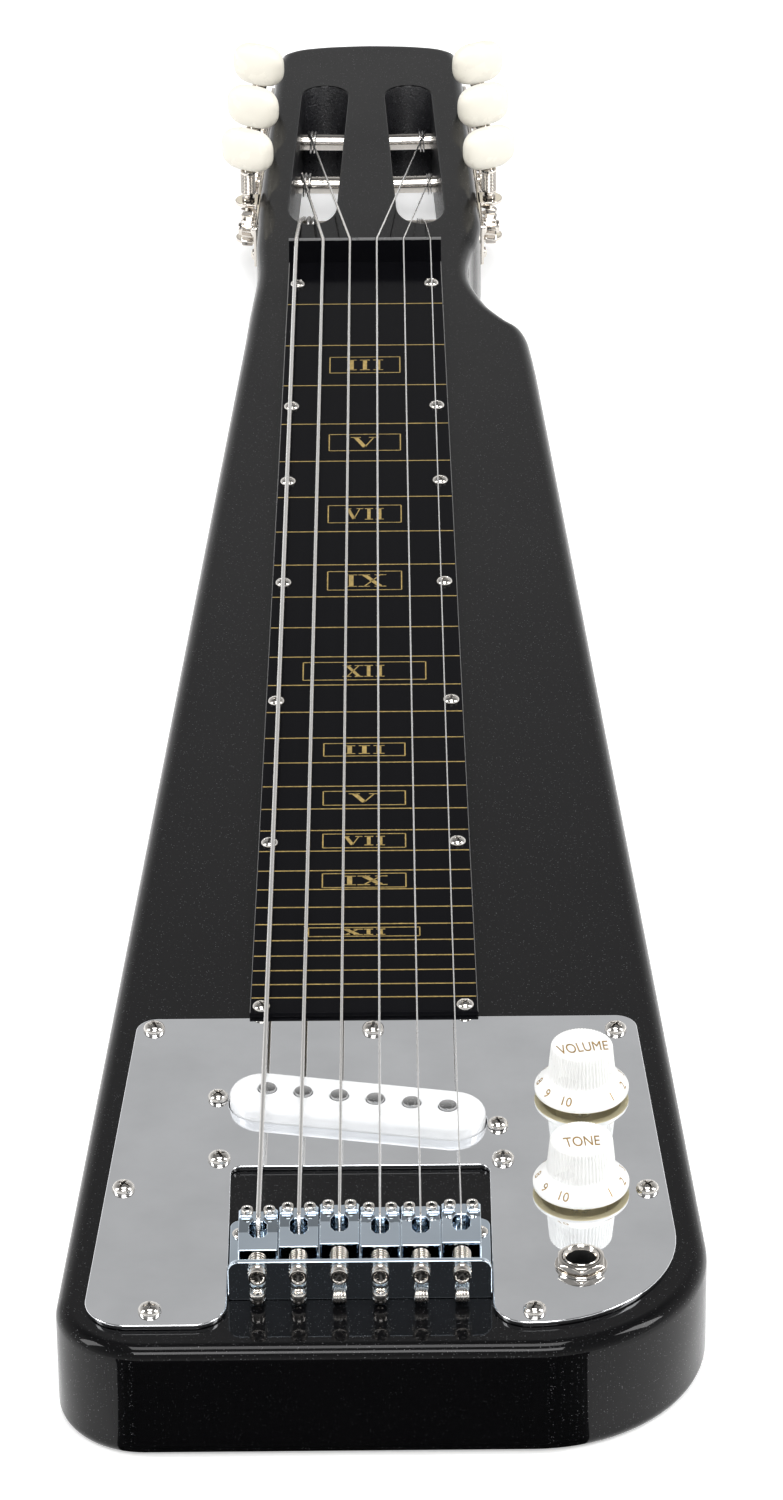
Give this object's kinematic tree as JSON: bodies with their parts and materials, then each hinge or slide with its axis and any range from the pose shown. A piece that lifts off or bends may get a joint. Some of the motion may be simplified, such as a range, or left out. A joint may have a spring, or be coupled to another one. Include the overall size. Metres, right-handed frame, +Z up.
{
  "type": "lap steel guitar",
  "caption": "Lap steel guitar with a slotted head, geared tuners, flat marked fretboard, slanted pickup, chrome control plate and a top-loaded bridge with adjustable saddles.",
  "frame": {"origin": "middle of the bounding box, on the flat underside of the body", "axes": "+Z up out of the fretboard, +Y along the strings from the bridge to the head, +X towards the thin strings and the knobs"},
  "size_m": [0.1684, 0.8052, 0.0537],
  "materials": {
    "body_finish": "glossy black metallic lacquer over wood",
    "board": "glossy black",
    "chrome": "mirror polished",
    "nickel": "polished nickel",
    "white_plastic": "moulded, satin gloss",
    "cream_plastic": "moulded, glossy",
    "steel": "drawn wire and ground shafts",
    "bobbin": "black bobbin and tape",
    "zinc": "plated can"
  },
  "bodies": {
    "instrument": {"body": "body_finish", "fretboard": "board", "nut": "board", "control_plate": "chrome", "pickup_cover": "white_plastic", "pickup_coil": "bobbin", "volume_pot": "zinc", "tone_pot": "zinc", "jack_socket": "nickel", "jack_nut": "nickel", "bridge_plate": "chrome", "saddle_low_e": "chrome", "intonation_screw_low_e": "nickel", "spring_low_e": "steel", "string_low_e": "steel", "saddle_a": "chrome", "intonation_screw_a": "nickel", "spring_a": "steel", "string_a": "steel", "saddle_d": "chrome", "intonation_screw_d": "nickel", "spring_d": "steel", "string_d": "steel", "saddle_g": "chrome", "intonation_screw_g": "nickel", "spring_g": "steel", "string_g": "steel", "saddle_b": "chrome", "intonation_screw_b": "nickel", "spring_b": "steel", "string_b": "steel", "saddle_high_e": "chrome", "intonation_screw_high_e": "nickel", "spring_high_e": "steel", "string_high_e": "steel", "tuner_plate_bass": "nickel", "tuner_plate_treble": "nickel"},
    "volume_control": {"volume_shaft": "steel", "volume_knob": "white_plastic"},
    "tone_control": {"tone_shaft": "steel", "tone_knob": "white_plastic"},
    "key_low_e": {"worm_shaft_low_e": "nickel", "button_low_e": "cream_plastic"},
    "post_low_e": {"tuner_post_low_e": "nickel"},
    "key_a": {"worm_shaft_a": "nickel", "button_a": "cream_plastic"},
    "post_a": {"tuner_post_a": "nickel"},
    "key_d": {"worm_shaft_d": "nickel", "button_d": "cream_plastic"},
    "post_d": {"tuner_post_d": "nickel"},
    "key_g": {"worm_shaft_g": "nickel", "button_g": "cream_plastic"},
    "post_g": {"tuner_post_g": "nickel"},
    "key_b": {"worm_shaft_b": "nickel", "button_b": "cream_plastic"},
    "post_b": {"tuner_post_b": "nickel"},
    "key_high_e": {"worm_shaft_high_e": "nickel", "button_high_e": "cream_plastic"},
    "post_high_e": {"tuner_post_high_e": "nickel"}
  },
  "joints": [
    {"name": "volume_turn", "type": "hinge", "parent": "instrument", "child": "volume_control", "pos_m": [0.0536, -0.2876, 0.035], "axis": [0, 0, 1], "range_deg": [-150, 150]},
    {"name": "tone_turn", "type": "hinge", "parent": "instrument", "child": "tone_control", "pos_m": [0.0522, -0.3326, 0.035], "axis": [0, 0, 1], "range_deg": [-150, 150]},
    {"name": "key_low_e_turn", "type": "hinge", "parent": "instrument", "child": "key_low_e", "pos_m": [-0.04557, 0.28581, 0.0195], "axis": [0, 0, 1], "continuous": true},
    {"name": "post_low_e_turn", "type": "hinge", "parent": "instrument", "child": "post_low_e", "pos_m": [-0.04588, 0.27831, 0.0195], "axis": [0.9992, -0.041, 0], "continuous": true},
    {"name": "key_a_turn", "type": "hinge", "parent": "instrument", "child": "key_a", "pos_m": [-0.04412, 0.32108, 0.0195], "axis": [0, 0, 1], "continuous": true},
    {"name": "post_a_turn", "type": "hinge", "parent": "instrument", "child": "post_a", "pos_m": [-0.04443, 0.31359, 0.0195], "axis": [0.9992, -0.041, 0], "continuous": true},
    {"name": "key_d_turn", "type": "hinge", "parent": "instrument", "child": "key_d", "pos_m": [-0.04268, 0.35635, 0.0195], "axis": [0, 0, 1], "continuous": true},
    {"name": "post_d_turn", "type": "hinge", "parent": "instrument", "child": "post_d", "pos_m": [-0.04298, 0.34886, 0.0195], "axis": [0.9992, -0.041, 0], "continuous": true},
    {"name": "key_g_turn", "type": "hinge", "parent": "instrument", "child": "key_g", "pos_m": [0.03487, 0.35635, 0.0195], "axis": [0, 0, 1], "continuous": true},
    {"name": "post_g_turn", "type": "hinge", "parent": "instrument", "child": "post_g", "pos_m": [0.03517, 0.34886, 0.0195], "axis": [0.9992, 0.041, 0], "continuous": true},
    {"name": "key_b_turn", "type": "hinge", "parent": "instrument", "child": "key_b", "pos_m": [0.03632, 0.32108, 0.0195], "axis": [0, 0, 1], "continuous": true},
    {"name": "post_b_turn", "type": "hinge", "parent": "instrument", "child": "post_b", "pos_m": [0.03662, 0.31359, 0.0195], "axis": [0.9992, 0.041, 0], "continuous": true},
    {"name": "key_high_e_turn", "type": "hinge", "parent": "instrument", "child": "key_high_e", "pos_m": [0.03776, 0.28581, 0.0195], "axis": [0, 0, 1], "continuous": true},
    {"name": "post_high_e_turn", "type": "hinge", "parent": "instrument", "child": "post_high_e", "pos_m": [0.03807, 0.27831, 0.0195], "axis": [0.9992, 0.041, 0], "continuous": true}
  ],
  "couplings": [
    {"joint": "post_low_e_turn", "follows": "key_low_e_turn", "ratio": -0.066667},
    {"joint": "post_a_turn", "follows": "key_a_turn", "ratio": -0.066667},
    {"joint": "post_d_turn", "follows": "key_d_turn", "ratio": -0.066667},
    {"joint": "post_g_turn", "follows": "key_g_turn", "ratio": -0.066667},
    {"joint": "post_b_turn", "follows": "key_b_turn", "ratio": -0.066667},
    {"joint": "post_high_e_turn", "follows": "key_high_e_turn", "ratio": -0.066667}
  ]
}
